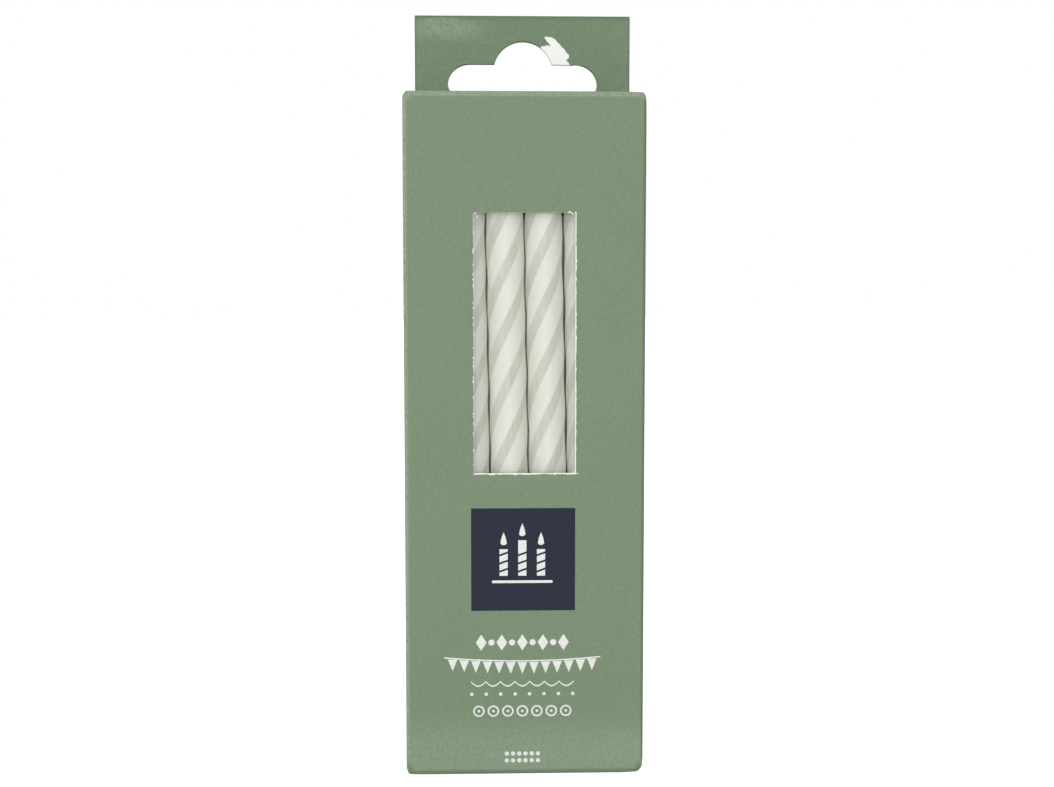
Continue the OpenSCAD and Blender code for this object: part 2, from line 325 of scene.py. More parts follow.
def fibre(points, radius, sides=5):
    """A torn paper fibre: a closed strand along a line, thinner at both ends."""
    points = [Vector(p) for p in points]
    ahead = (points[-1] - points[0]).normalized()
    first = ahead.cross(Vector((0.3, 1, 0.2))).normalized()
    second = ahead.cross(first)
    verts = []
    for k, p in enumerate(points):
        share = k / (len(points) - 1)
        r = radius * (0.35 + 0.65 * sin(pi * share))
        for j in range(sides):
            a = 2 * pi * j / sides
            verts.append(p + r * (cos(a) * first + sin(a) * second))
    faces = closed_tube(0, sides, len(points))
    return verts, faces, [TORN] * len(faces), [0] * len(verts)


def board_piece(name, nodes, body, sheet):
    """A piece of board that stands for CAD nodes and rides on a body, if one is given."""
    verts, faces, kinds, worn = sheet
    piece = new_piece(name, verts, faces, kinds, board_materials, worn=worn)
    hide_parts(*nodes)
    if body:
        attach(piece, body)
    return piece


# Knocked and rubbed corners of the carton

# Corners that are pressed in: place, reach and push
PRESSED = [
    ((-half_w, -half_d, 0), 1.3, (0.12, 0.1, 0.08)),
    ((half_w, -half_d, 0), 2.4, (-0.1, 0.15, 0.08)),
    ((-half_w, -half_d, top_z), 1.2, (0.06, 0.08, -0.03)),
    ((half_w, -half_d, top_z), 2.0, (-0.1, 0.1, -0.1)),
    ((-half_w, half_d, 0), 2.4, (0.25, -0.2, 0.2)),
    ((half_w, half_d, 0), 2.0, (-0.15, -0.15, 0.1)),
]
# Corners that are rubbed round: right or left (1 or -1), top or bottom (1 or -1), and radius
ROUNDED = [(1, -1, 1.0), (-1, -1, 0.5), (1, 1, 0.5), (-1, 1, 0.65)]


def rounded(point):
    """A point of the board, drawn in from a square corner onto a round one."""
    moved = np.array(point, float)
    for side, up, radius in ROUNDED:
        centre = np.array([side * (half_w - radius), 0, top_z - radius if up > 0 else radius])
        x, _, z = (moved - centre) * [side, 0, up]
        if x > 0 and z > 0:
            share = max(x, z) / hypot(x, z)
            moved[[0, 2]] = centre[[0, 2]] + (moved - centre)[[0, 2]] * share
    return moved


def pressed(point):
    """A point of the board, moved with any corner that it is near."""
    moved = np.array(point, float)
    for corner, reach, push in PRESSED:
        share = np.sum((point - np.array(corner)) ** 2) / reach ** 2
        if share < 1:
            moved += np.array(push) * (1 - share) ** 2
    return rounded(moved)


# Bends of the board

# Radius of the upright folds and of the creases, and the board's length round each
FOLD_R = 0.55
FOLD_LEN = FOLD_R * pi / 2
# Half width of the front between the bends of its folds
flat_half = half_w - FOLD_R
CREASE_R = 0.5
CREASE_LEN = CREASE_R * pi / 2
# Furthest that a flap's end reaches into an upright fold
HUG_REACH = 0.5


def bend(origin, along, travel, inward, radius=CREASE_R, turn_deg=90):
    """Place on a sheet that is flat but for the bend round its crease.

    On the flat, s is counted along the crease, and q across it from the start of the bend.
    """
    origin, along, travel, inward = (np.array(v, float) for v in (origin, along, travel, inward))
    turn = radians(turn_deg)

    def place(s, q, depth):
        a = min(max(q / radius, 0), turn)
        away = sin(a) * travel - cos(a) * inward
        onward = cos(a) * travel + sin(a) * inward
        rest = q if q < 0 else max(q - radius * turn, 0)
        return origin + radius * inward + s * along + (radius - depth) * away + rest * onward

    return place


def knocked(place):
    """The same place, moved with the carton's corners."""
    def moved(s, q, depth):
        return pressed(place(s, q, depth))

    return moved


def hugging(place, inward):
    """The same place, drawn in at its crease's ends to follow the upright folds."""
    def drawn(s, q, depth):
        past = min(max(abs(s) - flat_half, 0), HUG_REACH)
        drop = FOLD_R - sqrt(FOLD_R ** 2 - past ** 2)
        fade = max(0, 1 - max(q, 0) / CREASE_LEN)
        return pressed(place(s, q, depth) + drop * fade * np.array(inward, float))

    return drawn


# Carton: one sheet that runs round all four sides and ends in the glue flap

# The back panel's cut edge, beside the rear left fold, and the glue flap's outer face
RAW_EDGE_X = -half_w + 0.12
FLAP_Y = half_d - board_t - 0.01
# Plan of the sheet, as runs and left turns from the glue flap's free edge
RUNS = [
    ("run", glue_high.x + half_w - FOLD_R), ("turn", FOLD_LEN),
    ("run", FLAP_Y + half_d - 2 * FOLD_R), ("turn", FOLD_LEN),
    ("run", 2 * flat_half), ("turn", FOLD_LEN),
    ("run", 2 * (half_d - FOLD_R)), ("turn", FOLD_LEN),
    ("run", half_w - FOLD_R - RAW_EDGE_X),
]
STARTS = [sum(length for _, length in RUNS[:k]) for k in range(len(RUNS) + 1)]
# Where along the sheet its four folds start, two of its runs, and its end
FLAP_END, LEFT_END, FRONT_END, RIGHT_END = STARTS[1:9:2]
FRONT_U, RIGHT_U, SHEET_END = STARTS[4], STARTS[6], STARTS[9]

# Heights at which the walls end and their flaps' creases start
SIDE_TOP = dust_high.z - CREASE_R
SIDE_RAW_TOP = dust_high.z - 0.03
SIDE_LOW = corner_low.z + CREASE_R
FRONT_TOP = top_z - CREASE_R
FRONT_LOW = CREASE_R
BACK_LOW = inner_low.z + CREASE_R
DUST_REAR_Y = dust_high.y + 0.05
# Length that the glue flap's ends are cut back, and the slope beside the dust flaps' creases
GLUE_MITRE = 3
NOTCH_SLOPE = 0.15
# Width of the band beside a fold or crease that carries rubbing, painted highlight and painted shade
RUB_AND_LIGHT_BAND = 0.35


def sleeve_place(u, v, depth):
    """Place on the upright sheet, at a length along its plan and a height."""
    x, y, heading = glue_high.x, FLAP_Y, pi
    for (kind, length), start in zip(RUNS, STARTS):
        share = min(max(u - start, 0), length)
        if kind == "run":
            x += share * cos(heading)
            y += share * sin(heading)
        else:
            cx = x - FOLD_R * sin(heading)
            cy = y + FOLD_R * cos(heading)
            heading += share / FOLD_R
            x = cx + FOLD_R * sin(heading)
            y = cy - FOLD_R * cos(heading)
        if u <= start + length:
            break
    return pressed(np.array([x - depth * sin(heading), y + depth * cos(heading), v]))


def front_u(x):
    """Length along the sheet of a place across the front panel."""
    return FRONT_U + x + half_w - FOLD_R


def over_fold(start, v0, v1, side_first, steps=8):
    """Edge of the sheet across a fold, from a height to another, most of it near the side."""
    shares = [k / steps for k in range(steps + 1)]
    eased = [1 - (1 - t) ** 5 if side_first else t ** 5 for t in shares]
    return [(start + FOLD_LEN * t, v0 + (v1 - v0) * e) for t, e in zip(shares, eased)]


def sleeve_outline():
    """Edge of the sheet on the flat, anticlockwise from the glue flap's lower free corner."""
    low = [(0, glue_low.z + GLUE_MITRE)]
    low += over_fold(FLAP_END, glue_low.z, SIDE_LOW, False)
    low += over_fold(LEFT_END, SIDE_LOW, FRONT_LOW, True)
    low += over_fold(FRONT_END, FRONT_LOW, SIDE_LOW, False)
    low += over_fold(RIGHT_END, SIDE_LOW, BACK_LOW, True)
    low += [(SHEET_END, BACK_LOW)]
    right_notch = RIGHT_U + DUST_REAR_Y + half_d - FOLD_R
    left_notch = LEFT_END - (DUST_REAR_Y + half_d - FOLD_R)
    high = [(0, glue_high.z - GLUE_MITRE)]
    high += over_fold(FLAP_END, glue_high.z, SIDE_RAW_TOP, False)
    high += [(left_notch - NOTCH_SLOPE, SIDE_RAW_TOP), (left_notch, SIDE_TOP)]
    high += over_fold(LEFT_END, SIDE_TOP, FRONT_TOP, True)
    high += over_fold(FRONT_END, FRONT_TOP, SIDE_TOP, False)
    high += [(right_notch, SIDE_TOP), (right_notch + NOTCH_SLOPE, SIDE_RAW_TOP)]
    high += over_fold(RIGHT_END, SIDE_RAW_TOP, back_high.z, True)
    high += [(SHEET_END, back_high.z)]
    return walk(low + high[::-1], EDGE_STEP)


# White edge of the window below, at the right, above and at the left: its usual width,
# how much more its chips have, and how far it wanders. Then its least width, the spacing
# of its points, the share of chips, and how much of a wander lasts
WINDOW_EDGES = [(0.14, 0.07, 0.035), (0.12, 0.07, 0.03), (0.004, 0.0, 0.003), (0.04, 0.12, 0.016)]
WINDOW_THIN = 0.004
WINDOW_STEP = 0.22
CHIPPED = 0.16
WANDER_LASTS = 0.7


def window_hole():
    """Ragged edge of the print round the window, and the bare board's width at each point."""
    rng = random.Random(7)
    corners = rectangle(window_x0, window_z0, window_x1, window_z1)
    loop, widths = [], []
    for side, (start, end) in enumerate(zip(corners, corners[1:] + corners[:1])):
        base, chips, jag = WINDOW_EDGES[side]
        away = ((0, -1), (1, 0), (0, 1), (-1, 0))[side]
        steps = ceil(dist(start, end) / WINDOW_STEP)
        drift = 0
        for k in range(steps):
            share = k / steps
            drift = WANDER_LASTS * drift + rng.uniform(-1, 1) * jag
            chip = chips if rng.random() < CHIPPED else 0
            fade = min(1, 6 * share, 6 * (1 - share) + 0.2)
            width = max(WINDOW_THIN, base + (drift + chip) * fade)
            x = start[0] + (end[0] - start[0]) * share
            z = start[1] + (end[1] - start[1]) * share
            loop.append((front_u(x + away[0] * (width - base)), z + away[1] * (width - base)))
            widths.append(width)
    return loop[::-1], widths[::-1]


# Torn fibres: left or right (-1 or 1), top or bottom (1 or -1), radius, and places across
# and up from that corner of the window
FIBRES = [
    (-1, 1, 0.09, [(0.17, -0.32), (0.3, -0.12), (0.44, 0.02)]),
    (-1, 1, 0.075, [(0.34, -0.74), (0.5, -0.58), (0.66, -0.38)]),
    (-1, 1, 0.055, [(0.03, -1.15), (0.05, -0.92), (0.03, -0.68)]),
    (1, 1, 0.08, [(-1.1, -0.1), (-0.98, 0.08), (-0.84, 0.22)]),
    (1, 1, 0.085, [(-0.94, 0.24), (-0.64, -0.04), (-0.36, -0.36)]),
    (1, 1, 0.08, [(-0.17, 0.16), (-0.12, 0.02), (-0.1, -0.3)]),
    (1, -1, 0.075, [(-0.5, 0.48), (-0.3, 0.3), (0.0, 0.14), (0.42, 0.1)]),
    (1, -1, 0.05, [(-2.9, 0.1), (-2.6, 0.2), (-2.3, 0.16)]),
    (-1, 1, 0.04, [(0.02, -9.6), (0.1, -9.4), (0.06, -9.1)]),
    (-1, 1, 0.04, [(0.02, -16.3), (0.09, -16.1), (0.05, -15.8)]),
]
FIBRE_Y = -half_d - 0.02


def window_fibres():
    """The torn fibres, each a sheet of its own."""
    made = []
    for side, up, radius, places in FIBRES:
        x0 = window_x1 if side > 0 else window_x0
        z0 = window_z1 if up > 0 else window_z0
        made.append(fibre([(x0 + x, FIBRE_Y, z0 + z) for x, z in places], radius))
    return made


# Generic ornaments in ink on the front panel, as pairs of a loop and the kind of its faces

# The panel's navy square, and the middle line of all the ornaments
NAVY_BOX = (-7.19, 22.47, 6.72, 36.32)
MARK_X = -0.35
# Candles in the square: each one's place and top, and their foot and half width
ICON_CANDLES = [(-2.5, 30.8), (0, 32.0), (2.5, 30.8)]
ICON_LOW = 27.2
ICON_HALF = 0.55
# The plate under them: half length, height and half thickness
PLATE_HALF, PLATE_Z, PLATE_R = 3.9, 26.4, 0.18


def icon_candle(x, high):
    """One candle of the square: its body, three stripes and a flame."""
    left, right = x - ICON_HALF, x + ICON_HALF
    marks = [(rectangle(left, ICON_LOW, right, high), WHITE)]
    for k in range(3):
        z = ICON_LOW + 0.7 + 1.1 * k
        marks.append(([(left, z - 0.28), (right, z + 0.12), (right, z + 0.4), (left, z)], NAVY))
    foot = high + 0.55
    flame = arc(x, foot + 0.42, 0.46, 0.42, 200, 340, 8)
    flame += [(x + 0.3, foot + 0.95), (x, foot + 1.75), (x - 0.3, foot + 0.95)]
    return marks + [(flame, WHITE)]


def navy_square():
    """A navy square with three lit candles on a plate."""
    marks = [(rectangle(*NAVY_BOX), NAVY)]
    for dx, high in ICON_CANDLES:
        marks += icon_candle(MARK_X + dx, high)
    plate = arc(MARK_X + PLATE_HALF, PLATE_Z, PLATE_R, PLATE_R, -90, 90, 6)
    plate += arc(MARK_X - PLATE_HALF, PLATE_Z, PLATE_R, PLATE_R, 90, 270, 6)
    return marks + [(plate, WHITE)]


def row(count, pitch):
    """Places across of the marks in a row."""
    return [MARK_X + (k - (count - 1) / 2) * pitch for k in range(count)]


def diamond_row(z=18.15, half_across=0.72, half_up=1.1, dot_r=0.42):
    """Five diamonds with dots between them."""
    marks = []
    for k, x in enumerate(row(9, 1.38)):
        diamond = [(x, z - half_up), (x + half_across, z), (x, z + half_up), (x - half_across, z)]
        marks.append((ring(x, z, dot_r) if k % 2 else diamond, WHITE))
    return marks


def flag_row(flags=13, half=0.64, top=15.95, low=14.35, droop=0.5):
    """A string of flags that sags in the middle."""
    marks = []
    for k, x in enumerate(row(flags, 1.56)):
        sag = droop * (1 - ((k - (flags - 1) / 2) / (flags / 2)) ** 2)
        marks.append(([(x - half, top - sag), (x, low - sag), (x + half, top - sag)], WHITE))
    shares = [k / 26 - 1 for k in range(53)]
    string = [(MARK_X + t * 10.5, 16.12 - droop * (1 - t ** 2)) for t in shares]
    return marks + [(band(string, 0.09), WHITE)]


def scallop_row(reach=6.9, z=12.8, drop=0.6, bead_z=11.1, bead_r=0.24):
    """A scalloped line, with a row of beads under it."""
    wave = [(k / 70 - 1, z - drop * abs(sin(pi * k / 20))) for k in range(141)]
    line = band([(MARK_X + t * reach, height) for t, height in wave], 0.1)
    return [(loop, WHITE) for loop in [line] + [ring(x, bead_z, bead_r, 12) for x in row(8, 1.943)]]


def ring_row(z=8.77):
    """Seven rings with a dot in each."""
    sizes = [(0.78, 24, WHITE), (0.56, 24, PRINT), (0.18, 12, WHITE)]
    return [(ring(x, z, r, steps), kind) for x in row(7, 1.95) for r, steps, kind in sizes]


def count_dots(high=2.9, gap=0.94, r=0.3):
    """Twelve dots in two rows, one for each candle."""
    return [(ring(x, high - k * gap, r, 14), WHITE) for k in range(2) for x in row(6, 0.84)]


def print_marks():
    """All the ornaments, on the flat sheet."""
    marks = navy_square() + diamond_row() + flag_row() + scallop_row() + ring_row() + count_dots()
    return [([(front_u(x), z) for x, z in loop], kind) for loop, kind in marks]


# Wear of the print, and painted light: from 0 to 1 where it is rubbed and where highlights and the
# floor's light are painted, and below 0 where painted shade darkens it

# Folds that are rubbed: where each starts, and how much
RUBBED_FOLDS = [(LEFT_END, 0.9), (FRONT_END, 0.04), (RIGHT_END, 0.5)]
# Rubbing and a painted highlight at the front's top crease, and painted light from the floor at its
# foot, gone at twice the foot's height
TOP_RUB_AND_HIGHLIGHT = 0.7
FOOT_FLOOR_LIGHT, FOOT_LIGHT_HEIGHT = 0.34, 4.2
# Painted shade on the front right fold, and over the front's lower crease, gone at a height
RIGHT_FOLD_SHADE = 0.5
FOOT_SHADE, FOOT_SHADE_HEIGHT = 0.4, 0.12
# Rubbing with a painted highlight, and painted shade, along the creases of the flaps
CREASE_RUB_AND_HIGHLIGHT, CREASE_SHADE = 0.8, 0.45


def near(distance, middle, reach):
    """1 in a band's middle, 0 at its reach from there, and below 0 past that."""
    return 1 - abs(distance - middle) / reach


def grime_or(rub, grime):
    """The stronger of the rubbing with painted light and the painted shade at a place, as one value."""
    return -min(1, grime) if grime > max(rub, 0) else min(1, max(0, rub))


def sleeve_wear_and_light(u, v):
    """Rubbing of the walls at their folds, rubbing and a painted highlight on the front's top crease,
    painted floor light at its foot, and painted shade on its right fold and lower crease.
    """
    mid = FOLD_LEN / 2
    fold = max(most * near(u - start, mid, mid + RUB_AND_LIGHT_BAND / 3) for start, most in RUBBED_FOLDS)
    ends = max(TOP_RUB_AND_HIGHLIGHT * (1 - (FRONT_TOP - v) / RUB_AND_LIGHT_BAND), FOOT_FLOOR_LIGHT * min(1, 2 - v / FOOT_LIGHT_HEIGHT))
    grime = max(RIGHT_FOLD_SHADE * near(u - FRONT_END, mid, mid),
                FOOT_SHADE * (1 - (v - FRONT_LOW) / FOOT_SHADE_HEIGHT))
    return grime_or(max(fold, ends), grime)


def on_crease(q):
    """1 in the middle of a flap's crease, and 0 from a little way beside it."""
    return max(0, near(q, CREASE_LEN / 2, CREASE_LEN / 2 + RUB_AND_LIGHT_BAND))


def crease_rub_and_highlight(_, q):
    """Rubbing along a flap's crease, with a painted highlight."""
    return CREASE_RUB_AND_HIGHLIGHT * on_crease(q)


def crease_grime(_, q):
    """Painted shade along the crease that the carton stands on."""
    return -CREASE_SHADE * on_crease(q)


# Walls

# Heights between which the mesh keeps lines along the folds, and those on the glue flap,
# which are the ones that start less than a reach into its fold
FOLD_LINES = (2.0, 89.8)
GLUE_LINES, GLUE_REACH = (3.8, 83.2), 0.1
# How far the lines along the front's creases stay from its folds
LINE_INSET = 0.7
# Depth at which the bevels of the walls' cut edges end
WALL_EDGE_DEPTH = 0.05


def straight(start, end, step=STEP):
    """Points along a straight line."""
    return walk([start, end], step, closed=False)


def wall_creases():
    """Lines along the folds and creases, which keep their bends round."""
    lines = []
    for start in (FLAP_END, LEFT_END, FRONT_END, RIGHT_END):
        for u in [FOLD_LEN * k / 8 for k in range(9)] + [-RUB_AND_LIGHT_BAND / 3, FOLD_LEN + RUB_AND_LIGHT_BAND / 3]:
            low, high = GLUE_LINES if start == FLAP_END and u < GLUE_REACH else FOLD_LINES
            lines.append(straight((start + u, low), (start + u, high)))
    for v in (FRONT_TOP - RUB_AND_LIGHT_BAND, FRONT_LOW + RUB_AND_LIGHT_BAND):
        lines.append(straight((FRONT_U + LINE_INSET, v), (FRONT_END - LINE_INSET, v)))
    return lines


def carton_sleeve():
    """The carton's four walls and its glue flap."""
    walls = ["front_panel", "back_panel", "left_side_panel", "right_side_panel", "glue_flap"]
    sheet = cut_board(sleeve_outline(), sleeve_place, holes=[(*window_hole(), TORN)],
                      creases=wall_creases(), prints=print_marks(), wear_and_light_at=sleeve_wear_and_light,
                      depth=WALL_EDGE_DEPTH)
    board_piece("carton_sleeve", walls, "carton", merged(sheet, *window_fibres()))


# Creased flaps

# Places across a crease's bend
BEND_LINES = [CREASE_LEN * k / 6 for k in range(7)]
# Half widths of flaps at places past the crease's start. Those in front follow the folds.
CORNER = [(0, half_w - 0.08), (0.2, half_w - 0.1), (0.42, half_w - 0.2), (0.62, half_w - 0.33),
          (CREASE_LEN, half_w - 0.47)]
LID_WIDTHS = CORNER + [(CREASE_LEN + 0.8, flat_half - 0.02), (CREASE_LEN + 2.5, flat_half - 0.1)]
OUTER_WIDTHS = CORNER + [(CREASE_LEN + 0.8, flat_half)]
INNER_WIDTHS = [(0, flat_half + 0.3), (0.5, flat_half + 0.2), (CREASE_LEN, flat_half),
                (CREASE_LEN + 0.8, flat_half - 0.1)]
# Play of the tuck flap beside the walls, and radius of its corners
TUCK_PLAY = 0.25
TUCK_CORNER = 2.5


def flap_outline(widths, length):
    """Outline of a flap, from its half widths and its length."""
    stops = sorted({q for q, _ in widths} | set(BEND_LINES) | {CREASE_LEN + RUB_AND_LIGHT_BAND, length})
    places, halves = zip(*widths)
    right = [(float(np.interp(q, places, halves)), q) for q in stops]
    return walk(right + [(-s, q) for s, q in right[::-1]], EDGE_STEP)


def crease_lines(half):
    """Lines along a crease that keep its bend round."""
    return [straight((-half, q), (half, q)) for q in BEND_LINES[1:] + [CREASE_LEN + RUB_AND_LIGHT_BAND]]


def flap(name, node, body, outline, place, lines, wear_and_light_at=crease_rub_and_highlight):
    """A flap's piece, from its outline and the lines along its crease."""
    return board_piece(name, [node], body, cut_board(outline, place, creases=lines, wear_and_light_at=wear_and_light_at))


def top_lid():
    """Lid, from the front panel's crease to the start of its rear fold."""
    start_y = -half_d + CREASE_R
    length = CREASE_LEN + tuck_high.y - CREASE_R - start_y
    place = hugging(bend((0, -half_d, FRONT_TOP), (1, 0, 0), (0, 0, 1), (0, 1, 0)), (0, 1, 0))
    piece = flap("top_lid_board", "top_lid", None, flap_outline(LID_WIDTHS, length), place,
                 crease_lines(flat_half - 0.3))
    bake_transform(piece)


def top_tuck():
    """Tuck flap, from the lid's rear fold down to its rounded corners."""
    start_y = tuck_high.y - CREASE_R
    length = CREASE_LEN + top_z - CREASE_R - tuck_low.z
    half, corner = flat_half - TUCK_PLAY, TUCK_CORNER
    outline = [(-half, 0), (half, 0), (half, length - corner)]
    outline += arc(half - corner, length - corner, corner, corner, 0, 90, 8)[1:]
    outline += arc(-half + corner, length - corner, corner, corner, 90, 180, 8)
    place = bend((0, start_y, top_z), (1, 0, 0), (0, 1, 0), (0, 0, -1))
    piece = flap("top_tuck_board", "top_tuck_flap", None, walk(outline, STEP), place,
                 crease_lines(half - 0.4))
    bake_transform(piece)


def top_dust(side, name):
    """One top dust flap, with both its corners cut back."""
    front, rear = dust_low.y, dust_high.y
    free = CREASE_LEN + half_w - CREASE_R - dust_low.x
    outline = [(front, 0), (rear, 0), (rear, free - 2.8), (rear - 1.55, free), (front + 3.7, free),
               (front + 0.35, CREASE_LEN + 0.2), (front + 0.1, CREASE_LEN * 0.6)]
    if side < 0:
        outline = [(-s, q) for s, q in outline][::-1]
    place = knocked(bend((side * half_w, 0, SIDE_TOP), (0, side, 0), (0, 0, 1), (-side, 0, 0)))
    lines = [straight((side * (front + 0.5), q), (side * (rear - 0.3), q)) for q in BEND_LINES[1:]]
    piece = flap(f"top_dust_board_{name}", f"top_dust_flap_{name}", None, walk(outline, STEP),
                 place, lines)
    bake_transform(piece)


def bottom_flaps():
    """The two large flaps of the glued bottom, on the front and the back panel."""
    outline = flap_outline(OUTER_WIDTHS, CREASE_LEN + floor_high.y + half_d - CREASE_R)
    place = hugging(bend((0, -half_d, FRONT_LOW), (-1, 0, 0), (0, 0, -1), (0, 1, 0)), (0, 1, 0))
    # The outer flap's crease, which the carton stands on, is painted with shade
    flap("bottom_outer_board", "bottom_outer_flap", "carton", outline, place,
         crease_lines(flat_half - 0.3), crease_grime)
    outline = flap_outline(INNER_WIDTHS, CREASE_LEN + half_d - CREASE_R - inner_low.y)
    place = hugging(bend((0, half_d, BACK_LOW), (1, 0, 0), (0, 0, -1), (0, -1, 0)), (0, -1, 0))
    flap("bottom_inner_board", "bottom_inner_flap", "carton", outline, place,
         crease_lines(flat_half - 0.4))


def bottom_dust(side, name):
    """One dust flap of the glued bottom, with its corners cut off."""
    half = corner_high.y
    length = CREASE_LEN + half_w - CREASE_R - corner_low.x
    right = [(half, 0), (half - 0.1, length - 1.5), (half - 1.6, length)]
    outline = [(-half, 0)] + right + [(-s, q) for s, q in right[:0:-1]]
    place = knocked(bend((side * half_w, 0, SIDE_LOW), (0, -side, 0), (0, 0, -1), (-side, 0, 0)))
    flap(f"bottom_dust_board_{name}", f"bottom_dust_flap_{name}", "carton", walk(outline, STEP),
         place, crease_lines(half - 0.4))


# Hang tab: the back panel's board, folded over at the top and glued to itself

TAB_FOLD_R = board_t
TAB_FOLD_LEN = TAB_FOLD_R * pi
# Longest stretch of the tab's mesh
TAB_STEP = 1.8
SLOT_W = 20.65
SLOT_MARGIN = 3.5
SLOT_HUMP_R = 4.1
SLOT_HUMP_H = 3.1
# Rounding of each lobe: how long and how high it is above and below the widest place
SLOT_SHOULDER = (3.1, 2.75)
SLOT_FOOT = (1.9, 1.75)
# The die cut is a little askew: its hump sits to the right, and its top leans left
SLOT_OFF_X = 0.1
SLOT_LEAN = 0.012
# Tear in the front ply, right of the hump, as places across and below the tab's top
TEAR = [
    (2.44, 4.35), (2.72, 4.12), (3.0, 4.16), (3.24, 4.01), (3.58, 4.02), (3.89, 4.17), (3.72, 3.9),
    (3.54, 3.66), (3.3, 3.42), (3.16, 3.2), (3.02, 3.05), (3.08, 2.9), (3.24, 2.8), (3.52, 2.88),
    (3.82, 2.87), (4.2, 3.0), (4.58, 3.25), (4.86, 3.62), (5.16, 3.84), (5.42, 4.22), (5.78, 4.5),
    (6.1, 5.02), (6.46, 5.34), (6.44, 5.58), (6.4, 5.79), (6.2, 5.9), (6.04, 6.07), (6.32, 6.3),
    (6.57, 6.69),
]
# How far the torn layer reaches under the print and past the slot's edge, its depth in
# the tab, and the longest stretch of its mesh and of its edge
TEAR_UNDER, TEAR_PAST = 0.35, 0.04
TEAR_DEPTH = (0.04, 0.86)
TEAR_STEP, TEAR_EDGE_STEP = 0.5, 0.3
# Width and strength of the painted shade at the tab's fold and at its cut sides
FOLD_BAND, TAB_FOLD_SHADE = 0.45, 0.55
SIDE_BAND, TAB_SIDE_SHADE = 0.3, 0.6
# Scuff at the front's upper left: its place from the side and the fold, its size, its
# strength, and the most that shows
SCUFF_AT, SCUFF_SIZE, SCUFF, SCUFF_MOST = (3.6, 1.1), (7, 1.8), 0.9, 0.4


def slot_outline():
    """The slot's outline across and above the base, anticlockwise from its lower right."""
    lobe_top = tab_high.z - SLOT_MARGIN - SLOT_HUMP_H
    widest = lobe_top - SLOT_SHOULDER[1]
    hump_z = tab_high.z - SLOT_MARGIN - SLOT_HUMP_R
    foot = degrees(asin((lobe_top - hump_z) / SLOT_HUMP_R))
    foot_x = SLOT_W / 2 - SLOT_FOOT[0]
    shoulder_x = SLOT_W / 2 - SLOT_SHOULDER[0]
    right = arc(foot_x, widest, *SLOT_FOOT, -90, 0, 10)
    right += arc(shoulder_x, widest, *SLOT_SHOULDER, 0, 90, 12)[1:]
    left = arc(-shoulder_x, widest, *SLOT_SHOULDER, 90, 180, 12)
    left += arc(-foot_x, widest, *SLOT_FOOT, 180, 270, 10)[1:]
    hump = arc(SLOT_OFF_X, hump_z, SLOT_HUMP_R, SLOT_HUMP_R, foot, 180 - foot, 30)
    return [(x - SLOT_LEAN * (z - hump_z), z) for x, z in right + hump + left]


def tear_outline():
    """The tear's line, from the slot's shoulder up to its hump."""
    return [(x, tab_high.z - down) for x, down in TEAR][::-1]


def torn_slot():
    """The slot's outline in the front ply, with the tear."""
    tear = tear_outline()
    low_x, low_z = tear[0]
    high_x = tear[-1][0] - 0.08
    slot = slot_outline()
    before = [p for p in slot if p[1] < low_z and p[0] > low_x]
    torn = [p for p in slot if p[0] > high_x and p[1] > low_z - 0.4]
    return before + tear + [p for p in slot if p not in torn and p not in before]


def torn_layer(place, top):
    """The layer that the tear laid bare, from under the print to the slot's edge."""
    tear = tear_outline()
    (low_x, low_z), high_x = tear[0], tear[-1][0]
    high_z = max(z for _, z in tear)
    outer = [(low_x + TEAR_UNDER, low_z), (low_x + TEAR_UNDER, low_z + 1.2),
             (low_x - 1.6, high_z - 0.2), (low_x - 2.9, high_z + TEAR_UNDER),
             (high_x + 0.2, high_z + TEAR_UNDER), (high_x - 0.1, high_z - 0.9)]
    slot = turned(slot_outline(), False)
    slot = [(x + TEAR_PAST * a, z + TEAR_PAST * b) for (x, z), (a, b) in zip(slot, outward(slot))]
    slot = sorted(p for p in slot if high_x - 0.2 < p[0] < low_x + 0.2 and p[1] > low_z - 0.5)
    loop = turned([(-x, TAB_FOLD_LEN + top - z) for x, z in outer + slot], True)
    low, high = TEAR_DEPTH

    def under(s, q, depth):
        return place(s, q, low + depth * (high - low) / sheet_t)

    return cut_board(walk(loop, TEAR_EDGE_STEP), under, step=TEAR_STEP, face=TORN, edge=TORN)


def tab_scuff_and_shade(s, q):
    """Painted shade at the tab's top fold and cut sides, and a rubbed scuff at the front's upper left.
    """
    fold = near(q, TAB_FOLD_LEN / 2, TAB_FOLD_LEN / 2 + FOLD_BAND)
    side = 1 - (tab_high.x - abs(s)) / SIDE_BAND
    scuff = 1 - hypot((s - tab_high.x + SCUFF_AT[0]) / SCUFF_SIZE[0],
                           (q - TAB_FOLD_LEN - SCUFF_AT[1]) / SCUFF_SIZE[1])
    return grime_or(min(SCUFF_MOST, SCUFF * scuff), max(TAB_FOLD_SHADE * fold, TAB_SIDE_SHADE * side))


